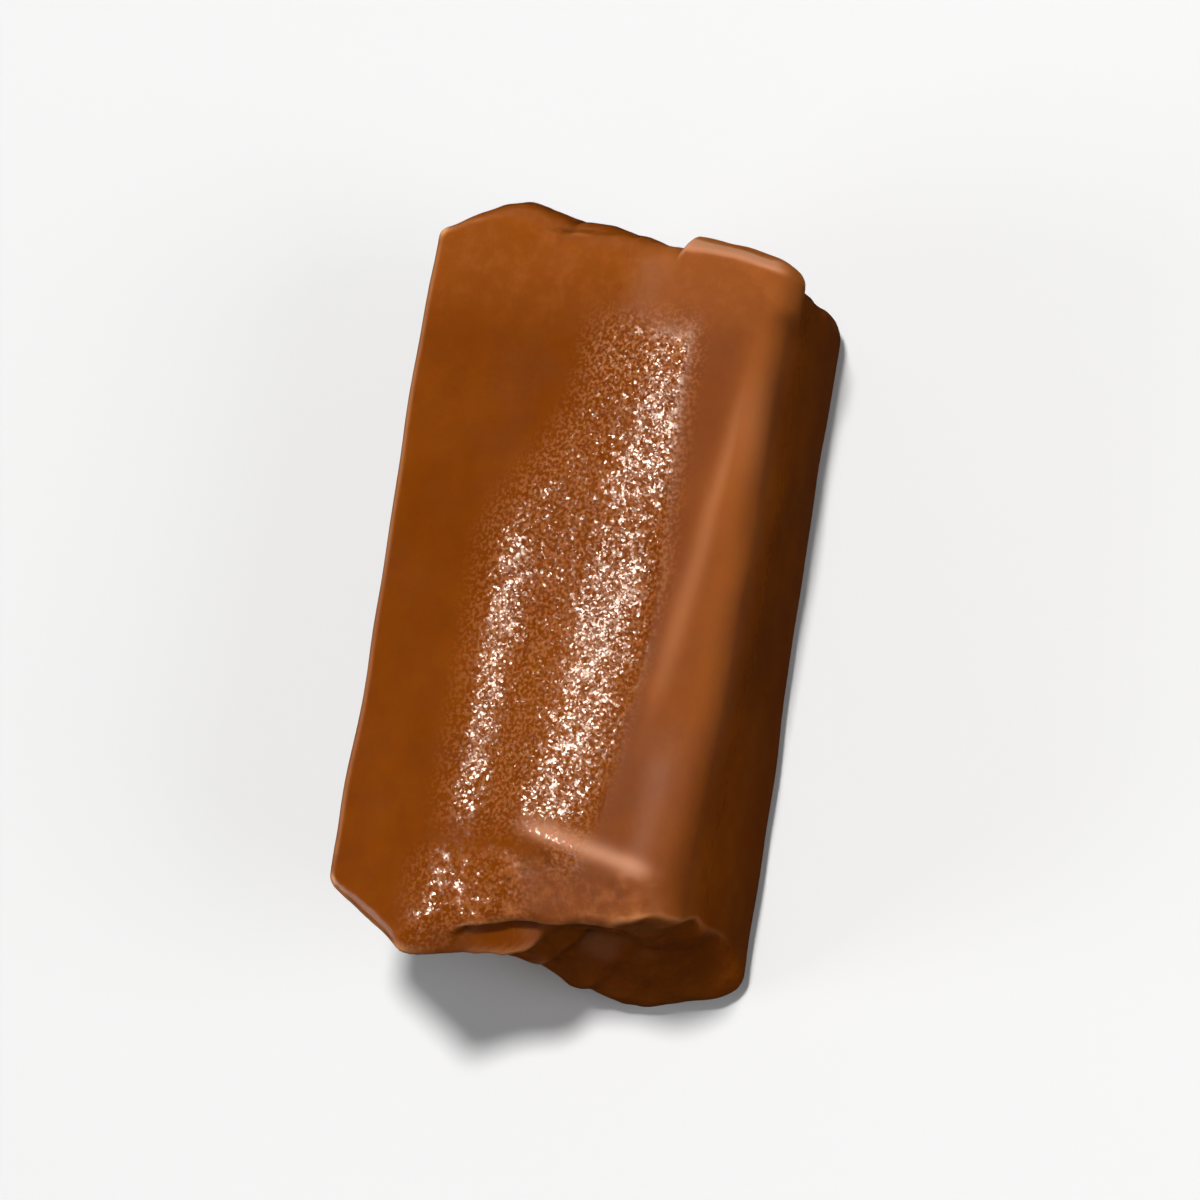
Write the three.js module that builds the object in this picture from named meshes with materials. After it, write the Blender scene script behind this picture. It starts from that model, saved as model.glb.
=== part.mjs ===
// A butter caramel: one soft bar of sweet with folded ends, as it comes out of its wrapper.
// Millimetres. +X runs along the bar, +Z is up, and the origin is at the middle of the footprint.

import * as THREE from "three";
import { mergeVertices } from "three/addons/utils/BufferGeometryUtils.js";

// The bar's main sizes
const LENGTH = 38.2;
const WIDTH = 19.2;
const HEIGHT = 14;
const HALF_LENGTH = LENGTH / 2;
const HALF_WIDTH = WIDTH / 2;

// Roundness of the long edges: crisp along the back, soft along the front
const TOP_BACK_RADIUS = 0.7;
const TOP_FRONT_RADIUS = 2.8;
const BASE_BACK_RADIUS = 1.2;
const BASE_FRONT_RADIUS = 1.5;

// Roundness of the -X end's edges, towards which the soft front edge turns crisper too
const MINUS_END_RADII = { top: 0.8, base: 1.5 };
const CRISP_END = { y: -2, from: -14, to: -18 };

// Cells of the surface along X, Y and Z, and how strongly they crowd towards the edges
const CELLS = { x: 34, y: 28, z: 26 };
const CROWDING = 0.6;

// Top face: from a high middle it slopes off to the back and steps down twice towards the front,
// where it rises again to the soft front edge
const BACK_SLOPE = { y: 4, slope: 0.1, softness: 1.2 };
const MAIN_STEP = { y: -4.1, lean: -0.14, drop: 0.8, half: 2.2 };
const SECOND_STEP = { y: 1.7, lean: -0.03, drop: 0.35, half: 1.2, from: -13, to: 3 };
const FRONT_RISE = { y: -6.6, lean: -0.08, slope: 0.16, softness: 0.5 };
const TOP_LIFT = 0.9;
const TOP_DEPTH = 3;

// Drooping facet at the -X end of the top, behind a fold that bends once, with a soft ridge on it
const DROOP_SLOPE = 0.3;
const DROOP_SOFTNESS = 0.3;
const DROOP_ACROSS = { from: [-13.4, 6.5], to: [-13.2, -1.2] };
const DROOP_DIAGONAL = { from: [-13.2, -1.2], to: [-16.4, -8.8] };
const DROOP_BACK = { y: 1.6, half: 4.4 };
const DIAGONAL_RIDGE = { height: 0.3, width: 0.9 };

// Flap folded over the top at the +X front corner
const FLAP = { x: 15.9, y: -5.4, edge: 0.4, soft: 1.1, reach: 0.8, overhang: 0.35, lift: 0.2 };
const FLAP_UNDERSIDE = { low: HEIGHT - 2.6, high: HEIGHT - 1.2, slant: 0.4 };
const FLAP_DIMPLE = { x: 16.4, y: -8, radius: 1.5, depth: 0.12 };
const FLAP_BEVEL = { x: 18.2, width: 0.8, drop: 0.5 };

// Folded -X end: the top's sheet ends in a lip, with a slit and a recess below it, above a foot that
// leans out, and the end slants back at both of its upper corners
const SHEET_EDGE = { z: HEIGHT - 0.2, width: 0.8, reach: 0.5, from: -9.4, to: 2.6 };
const LIP = { z: HEIGHT - 0.6, fall: 0.34, width: 1.2, reach: 2.9, tip: 4.8, root: 9.6, cut: -2,
  slack: 0.4 };
const SLIT = { width: 0.6, depth: 1.1, from: -1.8, to: 1.8 };
const RECESS = { depth: 0.9, from: -6.6, to: -2, low: HEIGHT - 7, high: HEIGHT - 2.6 };
const FOOT_LOBE = { y: -3.2, z: 1.8, width: 4.4, height: 3.6, reach: 2 };
const MINUS_DISH = 0.8;
const MINUS_SKEW = { top: 0.21, base: 0.27 };
const MINUS_LEAN = { from: 2.5, to: -1.5, depth: 1 };
const MINUS_FRONT = { y: -6, depth: 0.5 };
const MINUS_CORNER = { y: -6, depth: 0.8, low: 3, high: 11 };
const MINUS_FOLDS = [
  { from: [-7.2, 9.8], to: [2.4, 5.2] },
  { from: [-7.4, 8.2], to: [0.6, 1.8] },
  { from: [8.9, 2.2], to: [1.4, 8.6] },
  { from: [8.4, 9.4], to: [-1, 6.6] },
];

// Folded +X end: a hump and a shoulder beyond the rim of the top, a slanting ridge and a peak
const HUMP = { y: 5.6, z: HEIGHT - 2, width: 3.4, height: 3.4, reach: 2.4 };
const SHOULDER = { y: 0.2, z: HEIGHT - 3, width: 4, height: 2.8, reach: 1.7 };
const NOTCH = { y: 1.8, width: 0.5, depth: 0.35, low: HEIGHT - 3.5 };
const RIM = { x: 19.7, half: 0.3, drop: 0.35, from: -4, to: 2.6 };
const PLUS_DISH = 0.1;
const PLUS_FRONT = { y: -6.6, depth: 0.9 };
const PLUS_RIDGE = { line: { from: [-8.5, 2.2], to: [6.5, 10.6] }, height: 0.8, width: 1.5 };
const PEAK = { y: -3.7, z: 6.4, radius: 1.5, reach: 0.7 };
const PLUS_FOLDS = [
  { from: [8.8, 11.8], to: [-3.4, 9.4] },
  { from: [8.9, 9.6], to: [-4.6, 5] },
  { from: [8.8, 7.4], to: [-2.4, 2.4] },
  { from: [8.2, 5.2], to: [1.2, 1.4] },
];

// Sharpness, height and fading of one layer's edge over the next, and how the fold lines wander
const LAYER_STEP = 0.8;
const LAYER_HEIGHT = 0.5;
const LAYER_FADE = 2;
const WANDER = 0.35;
const END_DEPTH = 6;

// Long sides: a little belly, a front that leans out towards +X, and the wavy seam at the back
const BELLY = 0.35;
const FRONT_LEAN = 0.036;
const SEAM = { z: 4.4, wave: 0.5, pitch: 0.31, height: 0.45 };
const SIDE_DEPTH = 3;

const COLOUR = 0x8a4a17;
const ROUGHNESS = 0.38;

const clamp = THREE.MathUtils.clamp;
const mix = THREE.MathUtils.lerp;

// Smooth step from 0 to 1, which may run in either direction
function ramp(from, to, value) {
  const share = clamp((value - from) / (to - from), 0, 1);
  return share * share * (3 - 2 * share);
}

function hill(value) {
  return Math.exp(-value * value);
}

function between(from, to, softness, value) {
  return ramp(from - softness, from + softness, value) * ramp(to + softness, to - softness, value);
}

// Zero before 0, rising evenly after it, with a soft bend between
function bend(softness, value) {
  return softness * Math.log(1 + Math.exp(value / softness));
}

// Place of a point against a fold line: across it, positive on its left, and along it from 0 to 1
function against(line, a, b) {
  const runA = line.to[0] - line.from[0];
  const runB = line.to[1] - line.from[1];
  const length = Math.hypot(runA, runB);
  const offA = a - line.from[0];
  const offB = b - line.from[1];
  return {
    across: (runA * offB - runB * offA) / length,
    along: (runA * offA + runB * offB) / (length * length),
  };
}

// Edge of a folded layer: it steps up sharply and dies away gently
function layerEdge(line, a, b) {
  const place = against(line, a, b);
  const step = ramp(-LAYER_STEP, LAYER_STEP, place.across);
  const fade = Math.exp(-Math.max(place.across, 0) / LAYER_FADE);
  return LAYER_HEIGHT * step * fade * between(0, 1, 0.14, place.along);
}

// Folded layers on an end, whose edges wander a little from their straight lines
function folds(lines, y, z) {
  const wanderedY = y + WANDER * Math.sin(0.9 * z + 0.4 * y);
  const wanderedZ = z + WANDER * Math.sin(0.7 * y + 1.3);
  return lines.reduce((sum, line) => sum + layerEdge(line, wanderedY, wanderedZ), 0);
}

// How far the drooping facet has fallen below the top
function droop(x, y) {
  const beyondAcross = -against(DROOP_ACROSS, x, y).across;
  const beyondDiagonal = -against(DROOP_DIAGONAL, x, y).across;
  const fall = bend(DROOP_SOFTNESS, Math.min(beyondAcross, beyondDiagonal));
  const fromBack = ramp(DROOP_BACK.y + DROOP_BACK.half, DROOP_BACK.y - DROOP_BACK.half, y);
  return DROOP_SLOPE * fall * fromBack;
}

function diagonalRidge(x, y) {
  const place = against(DROOP_DIAGONAL, x, y);
  return DIAGONAL_RIDGE.height * hill(place.across / DIAGONAL_RIDGE.width) * between(0, 1, 0.2, place.along);
}

// Height of a step down towards -Y, along a line that leans with X
function stepDown(step, x, y) {
  const line = step.y + step.lean * x;
  return step.drop * ramp(line + step.half, line - step.half, y);
}

function topRelief(x, y) {
  const back = BACK_SLOPE.slope * bend(BACK_SLOPE.softness, y - BACK_SLOPE.y);
  const main = stepDown(MAIN_STEP, x, y);
  const second = stepDown(SECOND_STEP, x, y) * between(SECOND_STEP.from, SECOND_STEP.to, 2.5, x);
  const frontY = FRONT_RISE.y + FRONT_RISE.lean * x;
  const front = FRONT_RISE.slope * bend(FRONT_RISE.softness, frontY - y);
  return TOP_LIFT - back - main - second + front - droop(x, y) + diagonalRidge(x, y);
}

// Outward relief of the end at -X, over its own Y and Z
function minusEndRelief(y, z) {
  const dish = MINUS_DISH * (1 - (y / HALF_WIDTH) ** 2);
  const sheet = SHEET_EDGE.reach * hill((z - SHEET_EDGE.z) / SHEET_EDGE.width)
    * between(SHEET_EDGE.from, SHEET_EDGE.to, 1, y);
  const lipZ = LIP.z - LIP.fall * clamp(LIP.tip - y, 0, 7);
  const lipShare = clamp((LIP.root - y) / (LIP.root - LIP.tip), 0, 1);
  const lipSlack = 1 - LIP.slack * ramp(LIP.tip, LIP.tip - 3, y);
  const lip = LIP.reach * hill((z - lipZ) / LIP.width) * lipShare * lipSlack
    * ramp(LIP.cut - 1.2, LIP.cut + 1.2, y);
  const slitZ = (SHEET_EDGE.z + lipZ) / 2;
  const slit = SLIT.depth * hill((z - slitZ) / SLIT.width) * between(SLIT.from, SLIT.to, 0.9, y);
  const recess = RECESS.depth * between(RECESS.from, RECESS.to, 1, y)
    * between(RECESS.low, RECESS.high, 1, z);
  const foot = FOOT_LOBE.reach * hill((y - FOOT_LOBE.y) / FOOT_LOBE.width)
    * hill((z - FOOT_LOBE.z) / FOOT_LOBE.height);
  const skew = mix(MINUS_SKEW.base, MINUS_SKEW.top, z / HEIGHT) * Math.max(y, 0);
  const lean = MINUS_LEAN.depth * ramp(MINUS_LEAN.from, MINUS_LEAN.to, y);
  const front = MINUS_FRONT.depth * ramp(MINUS_FRONT.y, -HALF_WIDTH, y);
  const corner = MINUS_CORNER.depth * ramp(MINUS_CORNER.y, -HALF_WIDTH, y)
    * between(MINUS_CORNER.low, MINUS_CORNER.high, 1.5, z);
  const inward = dish + slit + recess + skew + corner + (lean + front) * z / HEIGHT;
  return sheet + lip + foot + folds(MINUS_FOLDS, y, z) - inward;
}

// Outward relief of the end at +X, over its own Y and Z
function plusEndRelief(y, z) {
  const dish = PLUS_DISH * (1 - (y / HALF_WIDTH) ** 2);
  const hump = HUMP.reach * hill((y - HUMP.y) / HUMP.width) * hill((z - HUMP.z) / HUMP.height);
  const shoulder = SHOULDER.reach * hill((y - SHOULDER.y) / SHOULDER.width)
    * hill((z - SHOULDER.z) / SHOULDER.height);
  const notch = NOTCH.depth * hill((y - NOTCH.y) / NOTCH.width) * ramp(NOTCH.low, HEIGHT, z);
  const place = against(PLUS_RIDGE.line, y, z);
  const ridge = PLUS_RIDGE.height * hill(place.across / PLUS_RIDGE.width) * between(0, 1, 0.2, place.along);
  const peakOff = Math.hypot(y - PEAK.y, z - PEAK.z);
  const peak = PEAK.reach * Math.max(0, 1 - peakOff / PEAK.radius);
  const front = PLUS_FRONT.depth * ramp(PLUS_FRONT.y, -HALF_WIDTH, y) * ramp(HEIGHT / 2, HEIGHT, z);
  return hump + shoulder + ridge + peak + folds(PLUS_FOLDS, y, z) - dish - notch - front;
}

// Outward relief of the long sides
function frontRelief(x, z) {
  const lean = FRONT_LEAN * (x + HALF_LENGTH) * z / HEIGHT;
  return BELLY * Math.sin(Math.PI * z / HEIGHT) + lean;
}

function backRelief(x, z) {
  const seamZ = SEAM.z + SEAM.wave * Math.sin(SEAM.pitch * x);
  const seam = SEAM.height * ramp(LAYER_STEP, -LAYER_STEP, z - seamZ) * ramp(0, 1.5, z);
  return BELLY * Math.sin(Math.PI * z / HEIGHT) + seam;
}

// How far a point belongs to the flap, whose boundary with the top is as soft as the given width
function flapShare(softness, x, y, z) {
  const inX = ramp(FLAP.x - softness, FLAP.x + softness, x);
  const inY = ramp(FLAP.y + softness, FLAP.y - softness, y);
  const slantedZ = z + FLAP_UNDERSIDE.slant * (FLAP.y - y);
  return inX * inY * ramp(FLAP_UNDERSIDE.low, FLAP_UNDERSIDE.high, slantedZ);
}

// Height of the flap's upper face, with its dimple and its bevelled end
function flapLift(x, y) {
  const off = Math.hypot(x - FLAP_DIMPLE.x, y - FLAP_DIMPLE.y);
  const dimple = FLAP_DIMPLE.depth * hill(off / FLAP_DIMPLE.radius);
  const bevel = FLAP_BEVEL.drop * ramp(FLAP_BEVEL.x - FLAP_BEVEL.width, FLAP_BEVEL.x, x);
  return FLAP.lift - dimple - bevel;
}

// How far the folds beyond the rim of the top lie below it, at the +X end
function rimDrop(x, y, z) {
  const beyond = ramp(RIM.x - RIM.half, RIM.x + RIM.half, x) * between(RIM.from, RIM.to, 0.6, y);
  return RIM.drop * beyond * ramp(HEIGHT - 1.2, HEIGHT - 0.3, z);
}

// How much of the back's crispness an edge has, from 0 at the front to 1
function crispness(x, y) {
  const alongBar = ramp(-HALF_WIDTH, HALF_WIDTH, y);
  const atMinusEnd = ramp(-HALF_WIDTH, CRISP_END.y, y);
  return mix(alongBar, atMinusEnd, ramp(CRISP_END.from, CRISP_END.to, x));
}

// A box point rounded with the radius of the edges nearest to it
function roundedPoint(point) {
  const crisp = crispness(point.x, point.y);
  const toTop = ramp(0, HEIGHT, point.z);
  const topRadius = mix(TOP_FRONT_RADIUS, TOP_BACK_RADIUS, crisp);
  const baseRadius = mix(BASE_FRONT_RADIUS, BASE_BACK_RADIUS, crisp);
  const radius = mix(baseRadius, topRadius, toTop);
  const minusRadius = Math.min(radius, mix(MINUS_END_RADII.base, MINUS_END_RADII.top, toTop));
  const endRadius = point.x < 0 ? minusRadius : radius;
  const radii = new THREE.Vector3(endRadius, radius, radius);
  const core = new THREE.Vector3(
    clamp(point.x, endRadius - HALF_LENGTH, HALF_LENGTH - endRadius),
    clamp(point.y, radius - HALF_WIDTH, HALF_WIDTH - radius),
    clamp(point.z, radius, HEIGHT - radius),
  );
  const outward = point.clone().sub(core).divide(radii).normalize().multiply(radii);
  return core.add(outward);
}

// The whole shape: where a point of the plain box goes
function shapedPoint(boxPoint) {
  const point = roundedPoint(boxPoint);
  const { x, y, z } = point;
  const nearTop = ramp(HEIGHT - TOP_DEPTH, HEIGHT - 0.3, z);
  const nearMinusEnd = ramp(END_DEPTH - HALF_LENGTH, 0.4 - HALF_LENGTH, x);
  const nearPlusEnd = ramp(HALF_LENGTH - END_DEPTH, HALF_LENGTH - 0.4, x);
  const nearFront = ramp(SIDE_DEPTH - HALF_WIDTH, 0.3 - HALF_WIDTH, y);
  const nearBack = ramp(HALF_WIDTH - SIDE_DEPTH, HALF_WIDTH - 0.3, y);
  const flapRim = flapShare(FLAP.edge, x, y, z);
  const flapFace = flapShare(FLAP.soft, x, y, z);

  point.x += nearPlusEnd * (plusEndRelief(y, z) + flapRim * FLAP.reach);
  point.x -= nearMinusEnd * minusEndRelief(y, z);
  point.z += nearTop * (topRelief(point.x, y) + flapFace * flapLift(x, y));
  point.y += nearBack * backRelief(x, z);
  point.y -= nearFront * (frontRelief(x, z) + flapRim * FLAP.overhang);
  point.z = Math.max(point.z - rimDrop(point.x, y, z), 0);
  return point;
}

// Crowds evenly spaced places from -1 to 1 towards both ends
function crowded(place) {
  return mix(place, Math.sin(Math.PI / 2 * place), CROWDING);
}

function caramelGeometry() {
  const geometry = new THREE.BoxGeometry(2, 2, 2, CELLS.x, CELLS.y, CELLS.z);
  const places = geometry.attributes.position;
  const unit = new THREE.Vector3();
  for (let i = 0; i < places.count; i += 1) {
    unit.fromBufferAttribute(places, i);
    const boxPoint = new THREE.Vector3(
      HALF_LENGTH * crowded(unit.x),
      HALF_WIDTH * crowded(unit.y),
      HEIGHT / 2 * (1 + crowded(unit.z)),
    );
    const shaped = shapedPoint(boxPoint);
    places.setXYZ(i, shaped.x, shaped.y, shaped.z);
  }
  geometry.deleteAttribute("normal");
  geometry.deleteAttribute("uv");
  const solid = mergeVertices(geometry);
  solid.computeBoundingBox();
  const middle = solid.boundingBox.getCenter(new THREE.Vector3());
  solid.translate(-middle.x, -middle.y, -solid.boundingBox.min.z);
  solid.computeVertexNormals();
  return solid;
}

const sweet = new THREE.MeshStandardMaterial({ color: COLOUR, roughness: ROUGHNESS, metalness: 0 });
const caramel = new THREE.Mesh(caramelGeometry(), sweet);
caramel.name = "caramel";

const part = new THREE.Group();
part.name = "butter_caramel";
part.add(caramel);

export default part;
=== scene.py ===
"""Looks of a butter caramel: the folded sweet as a fine mesh, a pale floor and soft studio light."""

import math

import bpy
import numpy as np
from mathutils import Matrix, Vector


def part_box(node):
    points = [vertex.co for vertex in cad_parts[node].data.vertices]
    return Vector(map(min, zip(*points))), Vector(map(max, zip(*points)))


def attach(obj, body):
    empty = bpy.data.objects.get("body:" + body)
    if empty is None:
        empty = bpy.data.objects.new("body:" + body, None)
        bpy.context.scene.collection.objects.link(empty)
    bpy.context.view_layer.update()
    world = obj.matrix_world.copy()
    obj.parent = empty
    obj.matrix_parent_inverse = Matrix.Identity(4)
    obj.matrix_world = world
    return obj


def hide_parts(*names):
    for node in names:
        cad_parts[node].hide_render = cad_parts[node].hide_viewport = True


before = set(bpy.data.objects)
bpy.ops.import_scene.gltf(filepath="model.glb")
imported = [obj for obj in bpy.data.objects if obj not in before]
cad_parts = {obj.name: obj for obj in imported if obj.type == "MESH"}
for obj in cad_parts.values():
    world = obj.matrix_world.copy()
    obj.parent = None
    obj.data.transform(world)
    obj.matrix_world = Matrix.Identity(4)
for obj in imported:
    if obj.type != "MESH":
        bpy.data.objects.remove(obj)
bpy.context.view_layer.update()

MM = 0.001

# The bar's main sizes, in millimetres, as its solid has them
LENGTH = 38.2
WIDTH = 19.2
HEIGHT = 14
HALF_LENGTH = LENGTH / 2
HALF_WIDTH = WIDTH / 2

# Roundness of the long edges: crisp along the back, and soft along the front but for its -X end
TOP_BACK_RADIUS = 0.5
TOP_FRONT_RADIUS = 2.8
BASE_BACK_RADIUS = 1.1
BASE_FRONT_RADIUS = 1.5
MINUS_END_RADII = dict(top=0.7, base=1.5)
PLUS_END_RADIUS = 1.4
CRISP_END = dict(y=-2.0, start=-14.0, end=-18.0)

# Cells of the fine surface along X, Y and Z, and how strongly they crowd towards the edges
CELLS = (190, 112, 86)
CROWDING = 0.35

# How far the reliefs of the top, ends and sides reach into the bar, and the skin that has them whole
TOP_DEPTH = 3
END_DEPTH = 6
SIDE_DEPTH = 3
SKIN = 0.3
END_SKIN = 0.4

# Top face: from a high middle it slopes off to the back and steps down twice towards the front,
# where it rises again to the soft front edge
TOP_LIFT = 0.9
BACK_SLOPE = dict(y=4.0, slope=0.1, softness=1.2)
MAIN_STEP = dict(y=-4.1, lean=-0.14, slope=0.27, half=1.4, softness=0.35)
SECOND_STEP = dict(y=1.7, lean=-0.03, slope=0.26, half=0.8, softness=0.2, start=-13, end=3, fade=2.5)
FRONT_RISE = dict(y=-6.6, lean=-0.08, slope=0.16, softness=0.5)

# Drooping facet at the -X end of the top, behind a fold that bends once
DROOP_SLOPE = 0.3
DROOP_SOFTNESS = 0.25
DROOP_ACROSS = ((-13.4, 6.5), (-13.2, -1.2))
DROOP_DIAGONAL = ((-13.2, -1.2), (-15.8, -8.8))
DROOP_BACK_Y = 1.6
DROOP_BACK_HALF = 4.4
DIAGONAL_RIDGE = dict(height=0.3, width=0.9)
RIDGE_END_FADE = 0.2

# Flap folded over the top at the +X front corner
FLAP = dict(x=15.9, y=-5.4, edge=0.3, soft=1.0, reach=0.8, overhang=0.35, lift=0.2)
FLAP_UNDERSIDE = dict(low=HEIGHT - 2.5, high=HEIGHT - 1.3, slant=0.4)
FLAP_DIMPLE = dict(x=16.4, y=-8.0, radius=1.5, depth=0.12)
FLAP_BEVEL = dict(x=18.8, width=1.0, drop=0.4)

# Folded -X end
SHEET_EDGE = dict(z=HEIGHT - 0.2, width=0.8, reach=0.5, start=-9.4, end=2.6, fade=1)
LIP = dict(z=HEIGHT - 0.6, fall=0.34, run=7, width=1.2, reach=2.9, tip=4.8, root=9.6)
LIP_CUT = dict(y=-2.0, fade=1.2, slack=0.4, run=3)
MINUS_DISH = 0.8
MINUS_SKEW = dict(top=0.21, base=0.27)
MINUS_FRONT = dict(y=-6.0, depth=0.5)
MINUS_CORNER = dict(y=-6.0, depth=0.8, low=3.0, high=11.0, fade=1.5)
MINUS_LEAN = dict(start=2.5, end=-1.5, depth=1.0)
SLIT = dict(width=0.5, depth=1.3, start=-1.8, end=1.8, fade=0.9)
RECESS = dict(depth=0.9, start=-6.6, end=-2.0, low=HEIGHT - 7.0, high=HEIGHT - 2.6, fade=1.0)
FOOT_LOBE = dict(y=-3.2, z=1.8, width=4.4, height=3.6, reach=2.0)
MINUS_FOLDS = (
    ((-7.2, 9.8), (2.4, 5.2)),
    ((-7.4, 8.2), (0.6, 1.8)),
    ((8.9, 2.2), (1.4, 8.6)),
    ((8.4, 9.4), (-1.0, 6.6)),
)

# Folded +X end
HUMP = dict(y=5.6, z=HEIGHT - 2.0, width=3.4, height=3.4, reach=2.4)
SHOULDER = dict(y=0.2, z=HEIGHT - 3.0, width=4.0, height=2.8, reach=1.7)
NOTCH = dict(y=1.8, width=0.4, depth=0.35, low=HEIGHT - 3.5)
RIM = dict(x=19.7, half=0.25, drop=0.35, low=HEIGHT - 1.2, start=-4, end=2.6, fade=0.6)
PLUS_DISH = 0.1
PLUS_FRONT = dict(y=-6.6, depth=0.9)
PLUS_RIDGE = dict(line=((-8.5, 2.2), (6.5, 10.6)), height=0.8, width=1.5)
PEAK = dict(y=-3.7, z=6.4, radius=1.5, reach=0.7)
PLUS_FOLDS = (
    ((8.8, 11.8), (-3.4, 9.4)),
    ((8.9, 9.6), (-4.6, 5.0)),
    ((8.8, 7.4), (-2.4, 2.4)),
    ((8.2, 5.2), (1.2, 1.4)),
)

# One layer's edge over the next on an end: its sharpness, height and fading
LAYER_STEP = 0.5
LAYER_HEIGHT = 0.5
LAYER_FADE = 2.0
LAYER_END_FADE = 0.14

# How the fold lines wander from their straight lines, with pitches in radians per millimetre
WANDER = 0.35
WANDER_Y = dict(per_y=0.4, per_z=0.9)
WANDER_Z = dict(per_y=0.7, phase=1.3)

# Long sides: a little belly, a lean, and the wavy seam where the layers meet at the back
BELLY = 0.35
FRONT_LEAN = 0.036
SEAM = dict(z=4.4, wave=0.5, pitch=0.31, height=0.45, foot=1.5)

# Slow waves of the whole bar along each axis: pitches over X, Y and Z, phase and share
UNEVENNESS = 0.07
WAVES = (
    (((0, 0.31, 0.23), 1.1, 1), ((0, -0.47, 0.83), 0, 0.5)),
    (((0.21, 0, 0.37), 0.4, 1), ((0.52, 0, 0), 2.0, 0.5)),
    (((0.24, -0.33, 0), 2.2, 1), ((0.35, 0.61, 0), 0, 0.5)),
)

# Random lumps of the surface: wavelength, height and seed of each layer
FACET_LUMPS = ((2.4, 0.05, 1), (1.0, 0.03, 2))
FACET_LUMPS_PLACE = dict(depth=1.5, back=(5, 3))
TOP_LUMPS = ((3.5, 0.02, 3),)
END_LUMPS = ((3.0, 0.08, 4), (1.2, 0.03, 5))
SIDE_LUMPS = ((5.0, 0.03, 6),)
LUMP_WAVES = 28
LUMP_PITCHES = (0.7, 1.5)

# Smoothing of the measured roundness, in passes, and the roundness that counts as an edge, crease or swell
FINE_PASSES = 4
BROAD_PASSES = 60
EDGE_BENDS = (0.4, 1.5)
CREASE_BENDS = (-0.15, -1.2)
SWELL_BENDS = (0.02, 0.3)

# Places of the looks. A pair is where a look begins and where it is whole, in millimetres along one axis,
# and from_band is the distance from the main step's line
TOP_FACE = (HEIGHT - 1.5, HEIGHT)
FACET_FACE = (0.5, 2.5)
# Painted glow of light through the thin edges, kept to the upper part
EDGE_GLOW = dict(z=(2, 6), back=(3, 6), front_share=0.3)
# Painted sheen on the swellings along the front edge and on the +X end, and a lighter tone over the +X end
# of the top
SWELL_SHEEN_FRONT = dict(y=(-5, -8.5), x=(-14, 2), minus_share=0.5, z=(HEIGHT - 5, HEIGHT - 1))
SWELL_SHEEN_END = dict(x=(15, 18), share=0.5)
LIGHT_END = dict(x=(12.5, 18.5), share=0.8)
MATTE_FRONT = dict(from_band=(-2.4, -3.6), y=(-6.2, -7.2), x=(-6, -10), minus_share=0.6)
MATTE_FLAP = dict(x=(13, 15.5), y=(-1.5, -6))
MATTE_FACET = dict(y=(0, -2.5), share=0.7)
MATTE_UPPER = (HEIGHT - 6, HEIGHT - 2)
MATTE_END = dict(x=(-18, -19), z=(HEIGHT - 1, HEIGHT - 3), share=0.2)
# Painted highlight along the ridge beside the bright band
RIDGE_HIGHLIGHT = dict(from_band=-3.9, width=0.5, start=-6, end=11, fade=4, z=(HEIGHT - 3, HEIGHT - 1))
GRAIN_WIDTH = dict(from_band=(-3.6, -2.0), front=(-7.6, -6.4), back=(5.0, 2.0))
GRAIN_NARROWING = dict(x=(2, 12), by=4.5)
GRAIN_LENGTH = dict(start=-13.5, end=14.5, fade=1.8)
GRAIN_FRONT_LENGTH = dict(start=-16.5, y=(-1.5, -3.5))
GRAIN_GAIN = dict(x=(9, 13), by=0.6)
GRAIN_FACET = dict(start=-2, end=4.5, fade=1.2, share=0.8)
# Painted highlights on the fold's diagonal stretch and on the flap's bevel
FOLD_HIGHLIGHT = dict(off=0.3, width=0.6, start=0.05, end=1.0, fade=0.15, share=0.8)
BEVEL_HIGHLIGHT = dict(fade=0.15, share=0.6)
MOTTLED_FACET = (3.5, 0.5)
MOTTLED_END = dict(x=(13, 17), share=0.5)

# Colours of the sweet, from 0 to 255, and how strongly each is laid over the ones before it
TONES = ((121, 57, 1), (131, 65, 3))
COATS = dict(
    mottle=dict(share=0.3, colour=(110, 48, 2)),
    # painted sheen on the swellings
    swell_sheen=dict(share=0.55, colour=(164, 90, 24)),
    # painted highlight along the ridge
    ridge_highlight=dict(share=0.35, colour=(196, 128, 78)),
    patches=dict(share=0.4, colour=(176, 104, 50)),
    # painted sparkle: light specks over the sparkling band
    painted_sparkle=dict(share=0.42, colour=(192, 124, 72)),
    # painted glow of light through the thin edges
    edge=dict(share=0.9, colour=(222, 164, 112)),
    # painted highlights on the fold and the flap's bevel
    fold_bevel_highlight=dict(share=0.75, colour=(210, 156, 124)),
    # painted shade in the creases
    crease_shade=dict(share=0.7, colour=(78, 26, 2)),
)

# Noises of the sweet: size in millimetres, and the stretch of the noise that is spread out
NOISES = dict(
    tone=dict(size=9, detail=3, low=0.35, high=0.65),
    mottle=dict(size=1.6, detail=3, low=0.35, high=0.7),
    patches=dict(size=0.9, detail=4, roughness=0.65, low=0.42, high=0.7),
    # painted sparkle: light specks over the sparkling band
    painted_sparkle=dict(size=0.2, detail=1, low=0.42, high=0.66),
    tilt=dict(size=1.3, detail=2, low=0.3, high=0.7),
    gloss=dict(size=2.5, detail=3, low=0.3, high=0.7),
)
NOISE_ROUGHNESS = 0.5

# Bumps of the sweet: size in millimetres and share of the whole height
SOFT_BUMPS = dict(size=1.6, detail=3, roughness=0.6)
FINE_BUMPS = dict(size=0.3, detail=2, roughness=0.6)
SOFT_BUMP_SHARE = 0.4
FINE_BUMP_SHARE = 0.18
BUMP_HEIGHT = 0.06

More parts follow.
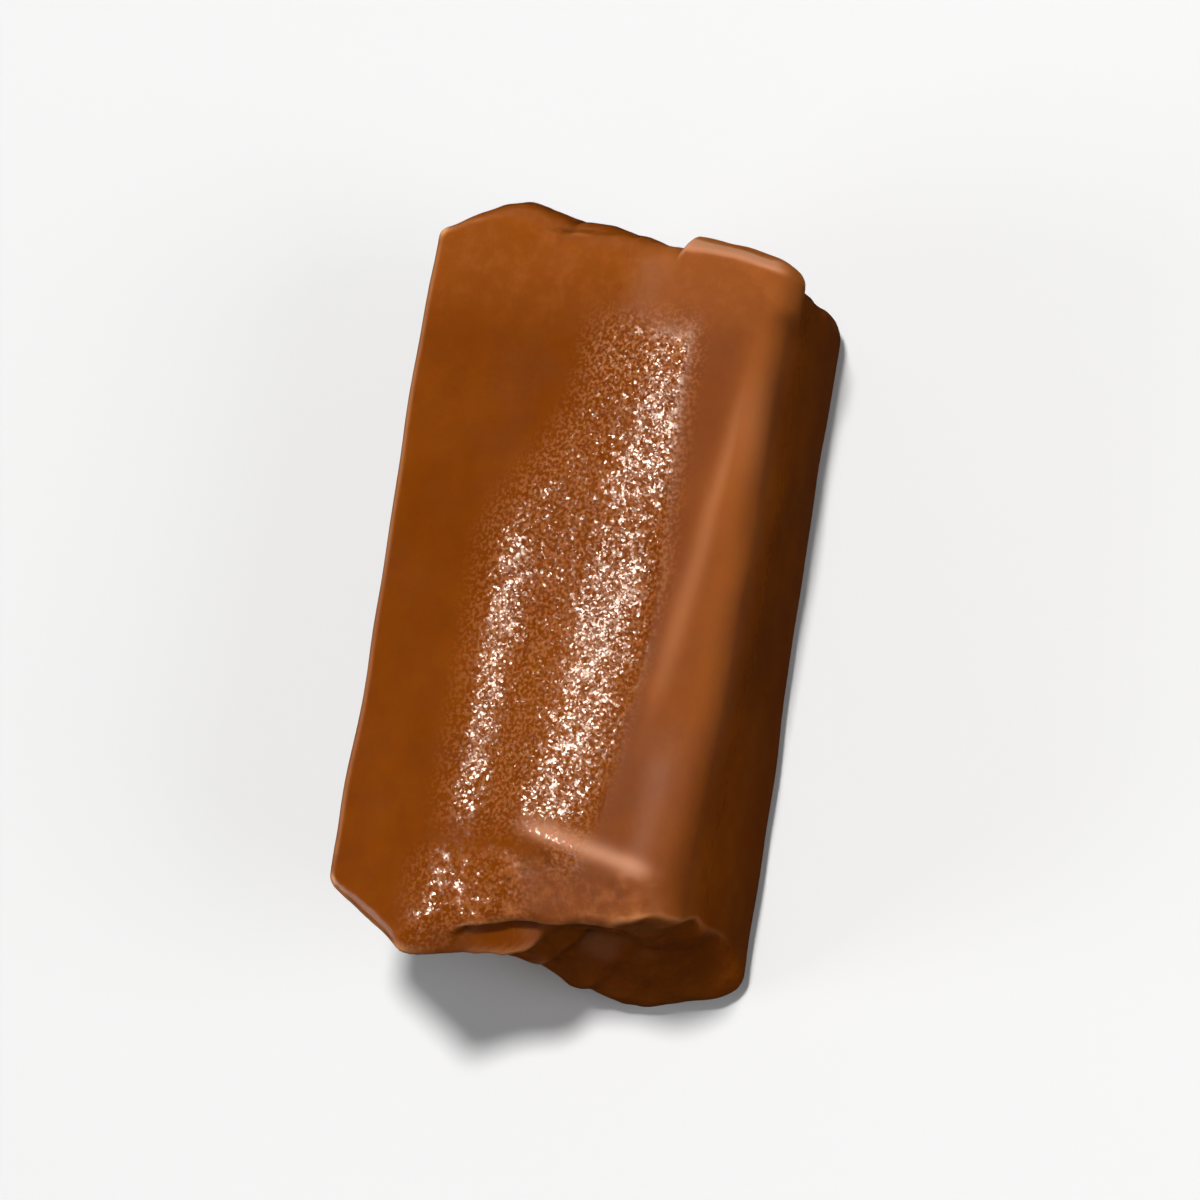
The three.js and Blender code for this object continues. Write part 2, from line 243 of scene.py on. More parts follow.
# Sparkling grain: sizes of its two layers of facets, and the range of their tilts
FACET_SIZES = (0.21, 0.13)
TILTS = (0.17, 0.31)

# Surface of the sweet, and how far light travels in it, for red, green and blue, in millimetres
ROUGHNESSES = (0.2, 0.26)
MATTE_ROUGHNESS = 0.65
SPECULAR_LEVEL = 0.42
SPECULAR_TINT = (1, 0.88, 0.76, 1)
REFRACTION = 1.49
LIGHT_TRAVEL = (1.0, 0.45, 0.15)

# Floor, in metres
FLOOR_HALF = 1.5
FLOOR_COLOUR = (0.715, 0.72, 0.73, 1)
FLOOR_ROUGHNESS = 0.75
FLOOR_SPECULAR_LEVEL = 0.2

# Camera: its back, its up, and how far off it stands in metres, with the bar upright in the picture
VIEW_BACK = Vector((-0.208, -0.394, 0.896)).normalized()
VIEW_UP = Vector((0.967, 0.059, 0.25))
VIEW_DISTANCE = 0.245
VIEW_LENS = 135
VIEW_NEAREST = 0.01
VIEW_TARGET = Vector((0, 0, HEIGHT / 2 * MM))

# Lights: directions towards them, distances and sizes in metres, powers in watts
KEY_FROM = Vector((0.21, -0.11, 0.97)).normalized()
KEY_DISTANCE = 0.9
KEY_SIZE = 0.13
KEY_POWER = 8.2
KEY_COLOUR = (1, 0.985, 0.965)
FILL_FROM = Vector((-0.15, -0.85, 0.5)).normalized()
FILL_DISTANCE = 0.9
FILL_SIZE = 0.5
FILL_POWER = 2.4
BACK_FROM = Vector((-0.3, 0.85, 0.4)).normalized()
BACK_POWER = 1.9

# Strength of the surrounding light, by the height that it comes from: -1 below, 1 above
WORLD_BY_HEIGHT = ((-0.1, 0.01), (0.05, 0.3), (0.5, 0.2), (0.75, 0.03))


def ramp(start, end, value):
    """Smooth step from 0 to 1, which may run in either direction."""
    share = np.clip((value - start) / (end - start), 0, 1)
    return share * share * (3 - 2 * share)


def mixed(first, second, share):
    """Value on the way from one value to another."""
    return first + (second - first) * share


def hill(value):
    """Rounded hill, 1 high at 0 and nearly flat beyond 2."""
    return np.exp(-value * value)


def between(start, end, softness, value):
    """1 between two places, fading to 0 around each of them."""
    rise = ramp(start - softness, start + softness, value)
    return rise * ramp(end + softness, end - softness, value)


def within(place, value):
    """1 between a place's start and its end, fading around both."""
    return between(place["start"], place["end"], place["fade"], value)


def bend(softness, value):
    """Zero before 0, rising evenly after it, with a soft bend between."""
    return softness * np.logaddexp(0, value / softness)


def mound(place, y, z):
    """Rounded mound on an end."""
    across = hill((y - place["y"]) / place["width"])
    return place["reach"] * across * hill((z - place["z"]) / place["height"])


def against(line, a, b):
    """Place of points against a fold line: across it, positive on its left, and along it from 0 to 1."""
    (start_a, start_b), (end_a, end_b) = line
    run_a, run_b = end_a - start_a, end_b - start_b
    length = math.hypot(run_a, run_b)
    off_a, off_b = a - start_a, b - start_b
    across = (run_a * off_b - run_b * off_a) / length
    along = (run_a * off_a + run_b * off_b) / length ** 2
    return across, along


def ridge_along(line, ridge, a, b):
    """Rounded ridge over a line, fading at both its ends."""
    across, along = against(line, a, b)
    return ridge["height"] * hill(across / ridge["width"]) * between(0, 1, RIDGE_END_FADE, along)


def layer_edge(line, a, b):
    """Edge of a folded layer: it steps up sharply and dies away gently."""
    across, along = against(line, a, b)
    step = ramp(-LAYER_STEP, LAYER_STEP, across)
    fade = np.exp(-np.maximum(across, 0) / LAYER_FADE)
    return LAYER_HEIGHT * step * fade * between(0, 1, LAYER_END_FADE, along)


def folds(lines, y, z):
    """Folded layers on an end, whose edges wander a little from their straight lines."""
    wandered_y = y + WANDER * np.sin(WANDER_Y["per_z"] * z + WANDER_Y["per_y"] * y)
    wandered_z = z + WANDER * np.sin(WANDER_Z["per_y"] * y + WANDER_Z["phase"])
    return sum(layer_edge(line, wandered_y, wandered_z) for line in lines)


def beyond_droop_fold(x, y):
    """Distance past the fold above the drooping facet, from the nearer of its two stretches."""
    return np.minimum(-against(DROOP_ACROSS, x, y)[0], -against(DROOP_DIAGONAL, x, y)[0])


def droop(x, y):
    """How far the drooping facet has fallen below the top."""
    fall = bend(DROOP_SOFTNESS, beyond_droop_fold(x, y))
    return DROOP_SLOPE * fall * ramp(DROOP_BACK_Y + DROOP_BACK_HALF, DROOP_BACK_Y - DROOP_BACK_HALF, y)


def step_down(step, x, y):
    """Depth of a step down towards -Y, evenly sloped across a line that leans with X."""
    past_middle = step["y"] + step["lean"] * x - y
    softness, half = step["softness"], step["half"]
    return step["slope"] * (bend(softness, past_middle + half) - bend(softness, past_middle - half))


def top_relief(x, y):
    """Height of the top face above the plain box."""
    back = BACK_SLOPE["slope"] * bend(BACK_SLOPE["softness"], y - BACK_SLOPE["y"])
    main = step_down(MAIN_STEP, x, y)
    second = step_down(SECOND_STEP, x, y) * within(SECOND_STEP, x)
    front_y = FRONT_RISE["y"] + FRONT_RISE["lean"] * x
    front = FRONT_RISE["slope"] * bend(FRONT_RISE["softness"], front_y - y)
    ridge = ridge_along(DROOP_DIAGONAL, DIAGONAL_RIDGE, x, y)
    return TOP_LIFT - back - main - second + front - droop(x, y) + ridge


def lip_and_slit(y, z):
    """The lip that hangs over the -X end, and the depth of the slit between it and the sheet above."""
    lip_z = LIP["z"] - LIP["fall"] * np.clip(LIP["tip"] - y, 0, LIP["run"])
    tapered = np.clip((LIP["root"] - y) / (LIP["root"] - LIP["tip"]), 0, 1)
    uncut = ramp(LIP_CUT["y"] - LIP_CUT["fade"], LIP_CUT["y"] + LIP_CUT["fade"], y)
    slack = 1 - LIP_CUT["slack"] * ramp(LIP["tip"], LIP["tip"] - LIP_CUT["run"], y)
    lip = LIP["reach"] * hill((z - lip_z) / LIP["width"]) * tapered * uncut * slack
    slit_z = (SHEET_EDGE["z"] + lip_z) / 2
    slit = SLIT["depth"] * hill((z - slit_z) / SLIT["width"]) * within(SLIT, y)
    return lip, slit


def minus_end_relief(y, z):
    """Outward relief of the end at -X, over its own Y and Z."""
    dish = -MINUS_DISH * (1 - (y / HALF_WIDTH) ** 2)
    sheet = SHEET_EDGE["reach"] * hill((z - SHEET_EDGE["z"]) / SHEET_EDGE["width"]) * within(SHEET_EDGE, y)
    lip, slit = lip_and_slit(y, z)
    recess = RECESS["depth"] * within(RECESS, y) * between(RECESS["low"], RECESS["high"], RECESS["fade"], z)
    skew = mixed(MINUS_SKEW["base"], MINUS_SKEW["top"], z / HEIGHT) * np.maximum(y, 0)
    front = MINUS_FRONT["depth"] * ramp(MINUS_FRONT["y"], -HALF_WIDTH, y)
    lean = MINUS_LEAN["depth"] * ramp(MINUS_LEAN["start"], MINUS_LEAN["end"], y)
    corner = MINUS_CORNER["depth"] * ramp(MINUS_CORNER["y"], -HALF_WIDTH, y)
    corner = corner * between(MINUS_CORNER["low"], MINUS_CORNER["high"], MINUS_CORNER["fade"], z)
    outward = dish + sheet + lip + mound(FOOT_LOBE, y, z) + folds(MINUS_FOLDS, y, z)
    return outward - slit - recess - skew - corner - (front + lean) * z / HEIGHT


def plus_end_relief(y, z):
    """Outward relief of the end at +X, over its own Y and Z."""
    dish = -PLUS_DISH * (1 - (y / HALF_WIDTH) ** 2)
    notch = NOTCH["depth"] * hill((y - NOTCH["y"]) / NOTCH["width"]) * ramp(NOTCH["low"], HEIGHT, z)
    ridge = ridge_along(PLUS_RIDGE["line"], PLUS_RIDGE, y, z)
    peak_off = np.hypot(y - PEAK["y"], z - PEAK["z"])
    peak = PEAK["reach"] * np.maximum(0, 1 - peak_off / PEAK["radius"])
    front = PLUS_FRONT["depth"] * ramp(PLUS_FRONT["y"], -HALF_WIDTH, y) * ramp(HEIGHT / 2, HEIGHT, z)
    mounds = mound(HUMP, y, z) + mound(SHOULDER, y, z)
    return dish + mounds + ridge + peak + folds(PLUS_FOLDS, y, z) - notch - front


def belly(z):
    return BELLY * np.sin(np.pi * z / HEIGHT)


def front_relief(x, z):
    """Outward relief of the side at -Y."""
    return belly(z) + FRONT_LEAN * (x + HALF_LENGTH) * z / HEIGHT


def back_relief(x, z):
    """Outward relief of the side at +Y, which stands out below its seam."""
    seam_z = SEAM["z"] + SEAM["wave"] * np.sin(SEAM["pitch"] * x)
    seam = SEAM["height"] * ramp(LAYER_STEP, -LAYER_STEP, z - seam_z) * ramp(0, SEAM["foot"], z)
    return belly(z) + seam


def flap_parts(x, y, z):
    """How far a point belongs to the flap's overhanging rim, and to its softer upper face."""
    slanted_z = z + FLAP_UNDERSIDE["slant"] * (FLAP["y"] - y)
    under = ramp(FLAP_UNDERSIDE["low"], FLAP_UNDERSIDE["high"], slanted_z)
    rim = ramp(FLAP["x"] - FLAP["edge"], FLAP["x"] + FLAP["edge"], x)
    rim = rim * ramp(FLAP["y"] + FLAP["edge"], FLAP["y"] - FLAP["edge"], y) * under
    face = ramp(FLAP["x"] - FLAP["soft"], FLAP["x"] + FLAP["soft"], x)
    face = face * ramp(FLAP["y"] + FLAP["soft"], FLAP["y"] - FLAP["soft"], y) * under
    return rim, face


def flap_lift(x, y):
    """Height of the flap's upper face, with its dimple and its bevelled end."""
    off = np.hypot(x - FLAP_DIMPLE["x"], y - FLAP_DIMPLE["y"])
    dimple = FLAP_DIMPLE["depth"] * hill(off / FLAP_DIMPLE["radius"])
    bevel = FLAP_BEVEL["drop"] * ramp(FLAP_BEVEL["x"] - FLAP_BEVEL["width"], FLAP_BEVEL["x"], x)
    return FLAP["lift"] - dimple - bevel


def unevenness(points):
    """Slow, slight waves that leave no edge quite straight, and die out towards the flat base."""
    waves = np.stack([
        sum(share * np.sin(points @ np.array(pitches) + phase) for pitches, phase, share in axis_waves)
        for axis_waves in WAVES
    ], axis=1)
    waves[:, 2] *= ramp(0, HEIGHT / 2, points[:, 2])
    return UNEVENNESS * waves


def lumps(layers, points):
    """Even, random lumps, in layers that are each about one wavelength across."""
    total = np.zeros(len(points))
    for wavelength, height, seed in layers:
        random = np.random.default_rng(seed)
        directions = random.normal(size=(3, LUMP_WAVES))
        directions /= np.linalg.norm(directions, axis=0)
        pitches = math.tau / (wavelength * random.uniform(*LUMP_PITCHES, LUMP_WAVES))
        phases = random.uniform(0, math.tau, LUMP_WAVES)
        waves = np.sin(points @ (directions * pitches) + phases)
        total += height * (waves.sum(1) / math.sqrt(LUMP_WAVES))
    return total


def rounded(points):
    """Box points rounded with the radius of the long edges nearest to them."""
    x, y, z = points.T
    to_back = ramp(-HALF_WIDTH, HALF_WIDTH, y)
    to_crisp = ramp(-HALF_WIDTH, CRISP_END["y"], y) - to_back
    to_back = to_back + to_crisp * ramp(CRISP_END["start"], CRISP_END["end"], x)
    to_top = ramp(0, HEIGHT, z)
    top_radius = mixed(TOP_FRONT_RADIUS, TOP_BACK_RADIUS, to_back)
    base_radius = mixed(BASE_FRONT_RADIUS, BASE_BACK_RADIUS, to_back)
    radius = mixed(base_radius, top_radius, to_top)
    minus_radius = mixed(MINUS_END_RADII["base"], MINUS_END_RADII["top"], to_top)
    end_radius = np.minimum(radius, np.where(x < 0, minus_radius, PLUS_END_RADIUS))
    core = np.stack((
        np.clip(x, end_radius - HALF_LENGTH, HALF_LENGTH - end_radius),
        np.clip(y, radius - HALF_WIDTH, HALF_WIDTH - radius),
        np.clip(z, radius, HEIGHT - radius),
    ), axis=1)
    radii = np.stack((end_radius, radius, radius), axis=1)
    outward = (points - core) / radii
    outward /= np.linalg.norm(outward, axis=1, keepdims=True)
    return core + outward * radii


def shaped(box_points):
    """The whole shape: where points of the plain box go."""
    points = rounded(box_points)
    before = points.copy()
    x, y, z = before.T
    near_top = ramp(HEIGHT - TOP_DEPTH, HEIGHT - SKIN, z)
    near_minus_end = ramp(END_DEPTH - HALF_LENGTH, END_SKIN - HALF_LENGTH, x)
    near_plus_end = ramp(HALF_LENGTH - END_DEPTH, HALF_LENGTH - END_SKIN, x)
    near_front = ramp(SIDE_DEPTH - HALF_WIDTH, SKIN - HALF_WIDTH, y)
    near_back = ramp(HALF_WIDTH - SIDE_DEPTH, HALF_WIDTH - SKIN, y)
    flap_rim, flap_face = flap_parts(x, y, z)

    points[:, 0] += near_plus_end * (plus_end_relief(y, z) + flap_rim * FLAP["reach"])
    points[:, 0] -= near_minus_end * minus_end_relief(y, z)
    points[:, 2] += near_top * (top_relief(points[:, 0], y) + flap_face * flap_lift(x, y))
    points[:, 1] += near_back * back_relief(x, z)
    points[:, 1] -= near_front * (front_relief(x, z) + flap_rim * FLAP["overhang"])
    beyond_rim = ramp(RIM["x"] - RIM["half"], RIM["x"] + RIM["half"], points[:, 0]) * within(RIM, y)
    points[:, 2] -= RIM["drop"] * beyond_rim * ramp(RIM["low"], HEIGHT - SKIN, z)

    points += unevenness(before)
    on_facet = ramp(0, FACET_LUMPS_PLACE["depth"], beyond_droop_fold(x, y))
    on_facet = on_facet * ramp(*FACET_LUMPS_PLACE["back"], y)
    points[:, 2] += near_top * (on_facet * lumps(FACET_LUMPS, before) + lumps(TOP_LUMPS, before))
    points[:, 0] += (near_plus_end - near_minus_end) * lumps(END_LUMPS, before)
    points[:, 1] += (near_back - near_front) * lumps(SIDE_LUMPS, before)
    points[:, 2] = np.maximum(points[:, 2], 0)
    return points


def crowded(count):
    """Places from -1 to 1 that crowd towards both ends."""
    place = np.linspace(-1, 1, count + 1)
    return place + CROWDING * (np.sin(math.pi / 2 * place) - place)


def box_shell():
    """Points and four-sided faces of a box's surface, divided into cells, with the faces pointing out."""
    number = np.full([n + 1 for n in CELLS], -1)
    on_shell = np.zeros(number.shape, bool)
    for axis in range(3):
        ends = np.moveaxis(on_shell, axis, 0)
        ends[0] = True
        ends[-1] = True
    number[on_shell] = np.arange(on_shell.sum())
    places = np.meshgrid(*[crowded(n) for n in CELLS], indexing="ij")
    points = np.stack([p[on_shell] for p in places], axis=1)
    faces = []
    for axis in range(3):
        sides = np.moveaxis(number, axis, 0)
        for end, side in ((0, sides[0]), (1, sides[-1])):
            quads = np.stack((side[:-1, :-1], side[1:, :-1], side[1:, 1:], side[:-1, 1:]), axis=-1)
            faces_out = (end == 1) == (axis != 1)
            quads = quads if faces_out else quads[..., ::-1]
            faces.append(quads.reshape(-1, 4))
    return points, np.concatenate(faces)


def fitted(points, low, high):
    """Points moved and scaled a little, so that their box is the solid's box."""
    own_low, own_high = points.min(0), points.max(0)
    return low + (points - own_low) * (high - low) / (own_high - own_low)


def curvature(points, faces):
    """Roundness of the surface at each point, per millimetre: above 0 on edges, below 0 in creases.

    It comes smoothed a little, and smoothed over a wider neighbourhood.
    """
    starts, ends = faces.ravel(), np.roll(faces, -1, axis=1).ravel()
    neighbours = np.bincount(starts, minlength=len(points))
    diagonal_a = points[faces[:, 2]] - points[faces[:, 0]]
    diagonal_b = points[faces[:, 3]] - points[faces[:, 1]]
    face_normals = np.cross(diagonal_a, diagonal_b)
    normals = np.zeros_like(points)
    for corner in range(4):
        np.add.at(normals, faces[:, corner], face_normals)
    normals /= np.linalg.norm(normals, axis=1, keepdims=True)
    steps = points[ends] - points[starts]
    squares = (steps ** 2).sum(1)
    bends = -2 * (steps * normals[starts]).sum(1) / squares
    result = np.bincount(starts, bends, len(points)) / neighbours
    results = []
    for passes in (FINE_PASSES, BROAD_PASSES):
        for _ in range(passes):
            result = (result + np.bincount(starts, result[ends], len(points)) / neighbours) / 2
        results.append(result)
    return results


def edge_glow_share(y, z, fine_bends):
    """Painted glow of light: pale, thin edges, most of all along the back."""
    place = ramp(*EDGE_GLOW["z"], z) * mixed(EDGE_GLOW["front_share"], 1, ramp(*EDGE_GLOW["back"], y))
    return ramp(*EDGE_BENDS, fine_bends) * place


def swell_sheen_share(x, y, z, broad_bends):
    """Painted sheen, lighter on the swellings along the front edge and on the +X end, and a lighter tone
    over the +X end of the top.
    """
    front = ramp(*SWELL_SHEEN_FRONT["y"], y) * mixed(SWELL_SHEEN_FRONT["minus_share"], 1, ramp(*SWELL_SHEEN_FRONT["x"], x))
    place = np.maximum(front, SWELL_SHEEN_END["share"] * ramp(*SWELL_SHEEN_END["x"], x))
    swell_sheen = ramp(*SWELL_BENDS, broad_bends) * place * ramp(*SWELL_SHEEN_FRONT["z"], z)
    light_end = LIGHT_END["share"] * ramp(*LIGHT_END["x"], x) * ramp(*TOP_FACE, z)
    return np.maximum(swell_sheen, light_end)


def matte_share(x, y, z, from_band, facet):
    """Matte stretches: the front ridge, the flap, the facet's front and the -X end."""
    front = np.maximum(ramp(*MATTE_FRONT["from_band"], from_band), ramp(*MATTE_FRONT["y"], y))
    front = front * mixed(1, MATTE_FRONT["minus_share"], ramp(*MATTE_FRONT["x"], x))
    flap = ramp(*MATTE_FLAP["x"], x) * ramp(*MATTE_FLAP["y"], y)
    on_facet = MATTE_FACET["share"] * facet * ramp(*MATTE_FACET["y"], y)
    upper = np.maximum(front, np.maximum(flap, on_facet)) * ramp(*MATTE_UPPER, z)
    end = MATTE_END["share"] * ramp(*MATTE_END["x"], x) * ramp(*MATTE_END["z"], z)
    return np.maximum(upper, end)


def ridge_highlight_share(x, z, from_band):
    """Painted highlight: a lighter stripe along the ridge beside the bright band."""
    ridge_highlight = hill((from_band - RIDGE_HIGHLIGHT["from_band"]) / RIDGE_HIGHLIGHT["width"])
    return ridge_highlight * within(RIDGE_HIGHLIGHT, x) * ramp(*RIDGE_HIGHLIGHT["z"], z)


def grain_share(x, y, z, from_band, facet):
    """Sparkling grain over the middle of the top, which narrows towards the +X end, and on the facet."""
    front = np.minimum(ramp(*GRAIN_WIDTH["from_band"], from_band), ramp(*GRAIN_WIDTH["front"], y))
    back = ramp(*GRAIN_WIDTH["back"], y + GRAIN_NARROWING["by"] * ramp(*GRAIN_NARROWING["x"], x))
    end, fade = GRAIN_LENGTH["end"], GRAIN_LENGTH["fade"]
    front_length = ramp(*GRAIN_FRONT_LENGTH["y"], y) * between(GRAIN_FRONT_LENGTH["start"], end, fade, x)
    length = np.maximum(within(GRAIN_LENGTH, x), front_length)
    grain = front * back * length * (1 + GRAIN_GAIN["by"] * ramp(*GRAIN_GAIN["x"], x))
    on_facet = GRAIN_FACET["share"] * facet * within(GRAIN_FACET, y)
    return np.maximum(grain, on_facet) * ramp(*TOP_FACE, z)


def fold_bevel_highlight_share(x, y, z):
    """Painted highlights as thin, pale rims: the fold's diagonal stretch and the flap's bevel."""
    from_fold, along_fold = against(DROOP_DIAGONAL, x, y)
    fold = hill((from_fold - FOLD_HIGHLIGHT["off"]) / FOLD_HIGHLIGHT["width"]) * within(FOLD_HIGHLIGHT, along_fold)
    bevel_start = FLAP_BEVEL["x"] - FLAP_BEVEL["width"]
    bevel = flap_parts(x, y, z)[0] * between(bevel_start, FLAP_BEVEL["x"], BEVEL_HIGHLIGHT["fade"], x)
    return np.maximum(FOLD_HIGHLIGHT["share"] * fold, BEVEL_HIGHLIGHT["share"] * bevel) * ramp(*TOP_FACE, z)


def mottled_share(x, y, z, facet):
    """Mottled stretches: the facet and the +X end of the top."""
    end = MOTTLED_END["share"] * ramp(*MOTTLED_END["x"], x)
    return np.maximum(facet * ramp(*MOTTLED_FACET, y), end) * ramp(*TOP_FACE, z)


def look_shares(box_points, fine_bends, broad_bends):
    """How strongly each look shows at each point, by the name of its attribute."""
    x, y, z = box_points.T
    from_band = y - MAIN_STEP["y"] - MAIN_STEP["lean"] * x
    facet = ramp(*FACET_FACE, beyond_droop_fold(x, y))
    return dict(
        # painted glow of light through the thin edges
        edge=edge_glow_share(y, z, fine_bends),
        # painted shade in the creases
        crease_shade=ramp(*CREASE_BENDS, fine_bends),
        # painted sheen on the swellings
        swell_sheen=swell_sheen_share(x, y, z, broad_bends),
        matte=matte_share(x, y, z, from_band, facet),
        # painted highlight along the ridge
        ridge_highlight=ridge_highlight_share(x, z, from_band),
        grain=grain_share(x, y, z, from_band, facet),
        # painted highlights on the fold and the flap's bevel
        fold_bevel_highlight=fold_bevel_highlight_share(x, y, z),
        mottled=mottled_share(x, y, z, facet),
    )


def mesh_object(name, points, faces):
    mesh = bpy.data.meshes.new(name)
    mesh.vertices.add(len(points))
    mesh.vertices.foreach_set("co", points.astype(np.float32).ravel())
    mesh.loops.add(faces.size)
    mesh.loops.foreach_set("vertex_index", faces.astype(np.int32).ravel())
    mesh.polygons.add(len(faces))
    mesh.polygons.foreach_set("loop_start", np.arange(0, faces.size, 4, dtype=np.int32))
    mesh.polygons.foreach_set("use_smooth", np.ones(len(faces), bool))
    mesh.update(calc_edges=True)
    mesh.validate()
    made = bpy.data.objects.new(name, mesh)
    bpy.context.scene.collection.objects.link(made)
    return made


def caramel_piece():
    """The sweet's mesh, in the solid's box, with the looks' shares as attributes."""
    unit_points, faces = box_shell()
    half_sizes = np.array((HALF_LENGTH, HALF_WIDTH, HEIGHT / 2))
    box_points = unit_points * half_sizes + (0, 0, HEIGHT / 2)
    low, high = (np.array(corner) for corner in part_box("caramel"))
    points = fitted(shaped(box_points), low, high)
    made = mesh_object("caramel_sweet", points, faces)
    for name, values in look_shares(box_points, *curvature(points / MM, faces)).items():
        attribute = made.data.attributes.new(name, "FLOAT", "POINT")
        attribute.data.foreach_set("value", values.astype(np.float32))
    return made


class Nodes:
    """Short ways to add and link the nodes of one material."""

    def __init__(self, name):
        self.material = bpy.data.materials.new(name)
        self.material.use_nodes = True
        self.tree = self.material.node_tree
        self.shader = self.tree.nodes["Principled BSDF"]

    def add(self, kind, **values):
        node = self.tree.nodes.new(kind)
        for key, value in values.items():
            setattr(node, key, value)
        return node

    def link(self, out_socket, in_socket):
        self.tree.links.new(out_socket, in_socket)

    def put(self, value, in_socket):
        """Links a socket's value to a socket, or sets a constant there."""
        if isinstance(value, bpy.types.NodeSocket):
            self.link(value, in_socket)
        else:
            in_socket.default_value = value

    def noise(self, coordinates, size, detail, roughness=NOISE_ROUGHNESS):
        """Soft noise whose cells are about one size across, in millimetres."""
        node = self.add("ShaderNodeTexNoise")
        node.inputs["Scale"].default_value = 1 / (size * MM)
        node.inputs["Detail"].default_value = detail
        node.inputs["Roughness"].default_value = roughness
        self.link(coordinates, node.inputs["Vector"])
        return node.outputs["Fac"]

    def spread_noise(self, coordinates, name, to_low=0, to_high=1):
        """One of the named noises, spread out between two values."""
        values = dict(NOISES[name])
        low, high = values.pop("low"), values.pop("high")
        node = self.add("ShaderNodeMapRange", interpolation_type="SMOOTHSTEP")
        stretches = {"From Min": low, "From Max": high, "To Min": to_low, "To Max": to_high}
        for socket, number in stretches.items():
            node.inputs[socket].default_value = number
        self.link(self.noise(coordinates, **values), node.inputs["Value"])
        return node.outputs["Result"]

    def attribute(self, name):
        return self.add("ShaderNodeAttribute", attribute_name=name).outputs["Fac"]

    def facets(self, coordinates, size):
        """Small facets of the given size in millimetres, each with its own random tilt from -0.5 to 0.5."""
        cells = self.add("ShaderNodeTexVoronoi")
        cells.inputs["Scale"].default_value = 1 / (size * MM)
        self.link(coordinates, cells.inputs["Vector"])
        return self.vector("SUBTRACT", cells.outputs["Color"], (0.5, 0.5, 0.5))

    def vector(self, operation, *values):
        node = self.add("ShaderNodeVectorMath", operation=operation)
        for socket, value in zip(node.inputs, values):
            self.put(value, socket)
        return node.outputs["Vector"]

    def scaled(self, vector, scale):
        node = self.add("ShaderNodeVectorMath", operation="SCALE")
        self.link(vector, node.inputs["Vector"])
        self.link(scale, node.inputs["Scale"])
        return node.outputs["Vector"]

    def math(self, operation, first, second):
        node = self.add("ShaderNodeMath", operation=operation)
        self.put(first, node.inputs[0])
        self.put(second, node.inputs[1])
        return node.outputs["Value"]

    def times(self, first, second):
        return self.math("MULTIPLY", first, second)

    def blend(self, share, first, second):
        """Colour between two colours."""
        node = self.add("ShaderNodeMix", data_type="RGBA")
        self.link(share, node.inputs["Factor"])
        self.put(first, node.inputs[6])
        self.put(second, node.inputs[7])
        return node.outputs[2]


def linear(red, green, blue):
    """Linear colour, with its alpha, of an sRGB colour given in 0 to 255."""
    shares = np.array((red, green, blue)) / 255
    colour = np.where(shares < 0.04045, shares / 12.92, ((shares + 0.055) / 1.055) ** 2.4)
    return (*(float(value) for value in colour), 1)


def caramel_colour(nodes, coordinates, grain):
    """Colour of the sweet: two close tones, with one coat of colour after another laid over them. Some
    coats are painted light: sheen, highlights, sparkle and glow on the edges, and shade in the creases.
    """
    patches = nodes.spread_noise(coordinates, "patches")
    # painted sparkle: light specks over the sparkling band
    painted_sparkle = nodes.spread_noise(coordinates, "painted_sparkle")
    shares = dict(
        mottle=nodes.spread_noise(coordinates, "mottle"),
        # painted sheen on the swellings
        swell_sheen=nodes.attribute("swell_sheen"),
        # painted highlight along the ridge
        ridge_highlight=nodes.attribute("ridge_highlight"),
        patches=nodes.times(patches, nodes.attribute("mottled")),
        # painted sparkle: light specks over the sparkling band
        painted_sparkle=nodes.times(grain, painted_sparkle),
        # painted glow of light through the thin edges
        edge=nodes.attribute("edge"),
        # painted highlights on the fold and the flap's bevel
        fold_bevel_highlight=nodes.attribute("fold_bevel_highlight"),
        # painted shade in the creases
        crease_shade=nodes.attribute("crease_shade"),
    )
    colour = nodes.blend(nodes.spread_noise(coordinates, "tone"), *(linear(*tone) for tone in TONES))
    for name, share in shares.items():
        coat = COATS[name]
        colour = nodes.blend(nodes.times(share, coat["share"]), colour, linear(*coat["colour"]))
    return colour


def caramel_normal(nodes, coordinates, grain):
    """Direction of the surface: soft and fine bumps, and tilted facets where it is grainy."""
    soft = nodes.times(nodes.noise(coordinates, **SOFT_BUMPS), SOFT_BUMP_SHARE)
    fine = nodes.times(nodes.noise(coordinates, **FINE_BUMPS), FINE_BUMP_SHARE)
    bump = nodes.add("ShaderNodeBump")
    bump.inputs["Strength"].default_value = 1
    bump.inputs["Distance"].default_value = BUMP_HEIGHT * MM
    nodes.link(nodes.math("ADD", soft, fine), bump.inputs["Height"])
    facets = nodes.vector("ADD", *(nodes.facets(coordinates, size) for size in FACET_SIZES))
    tilt = nodes.times(grain, nodes.spread_noise(coordinates, "tilt", *TILTS))
    tilted = nodes.vector("ADD", bump.outputs["Normal"], nodes.scaled(facets, tilt))
    return nodes.vector("NORMALIZE", tilted)


